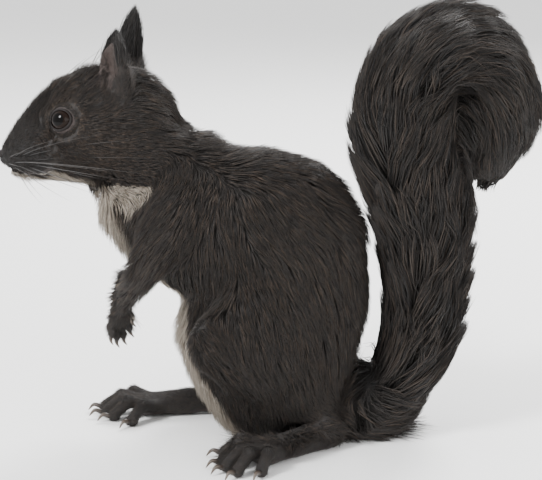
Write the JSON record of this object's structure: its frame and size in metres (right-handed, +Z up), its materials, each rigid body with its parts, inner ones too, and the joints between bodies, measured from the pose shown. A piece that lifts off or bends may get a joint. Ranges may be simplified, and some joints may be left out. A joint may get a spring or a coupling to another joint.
{
  "type": "red squirrel",
  "caption": "Life-size sitting red squirrel with tufted ears, hands held before the chest and a bushy tail that rises behind the back and curls over at its tip.",
  "frame": {"origin": "on the floor, in the flat under the rump that the animal sits on", "axes": "+Z up, the squirrel faces -Y, its left side is +X, and its length lies along Y"},
  "size_m": [0.1028, 0.2053, 0.166],
  "materials": {
    "coat": "matt, dark brown to charcoal fur on hide, cream below",
    "tail_hair": "matt, long dark hair",
    "nose_skin": "slightly moist bare skin",
    "eye": "wet gloss",
    "claw": "smooth dark horn"
  },
  "bodies": {
    "root": {"nose": "nose_skin", "eye_left": "eye", "claw_hand_left_1": "claw", "claw_hand_left_2": "claw", "claw_hand_left_3": "claw", "claw_hand_left_4": "claw", "claw_foot_left_1": "claw", "claw_foot_left_2": "claw", "claw_foot_left_3": "claw", "claw_foot_left_4": "claw", "claw_foot_left_5": "claw", "eye_right": "eye", "claw_hand_right_1": "claw", "claw_hand_right_2": "claw", "claw_hand_right_3": "claw", "claw_hand_right_4": "claw", "claw_foot_right_1": "claw", "claw_foot_right_2": "claw", "claw_foot_right_3": "claw", "claw_foot_right_4": "claw", "claw_foot_right_5": "claw", "thigh_left": "coat", "upper_arm_left": "coat", "forearm_left": "coat", "hand_left": "coat", "shank_left": "coat", "foot_left": "coat", "thigh_right": "coat", "upper_arm_right": "coat", "forearm_right": "coat", "hand_right": "coat", "shank_right": "coat", "foot_right": "coat", "head": "coat", "neck": "coat", "trunk": "coat", "ear_left": "coat", "ear_right": "coat", "tail_tip": "tail_hair", "tail_root": "tail_hair", "tail_lower": "tail_hair", "tail_middle": "tail_hair", "tail_upper": "tail_hair"}
  },
  "joints": []
}
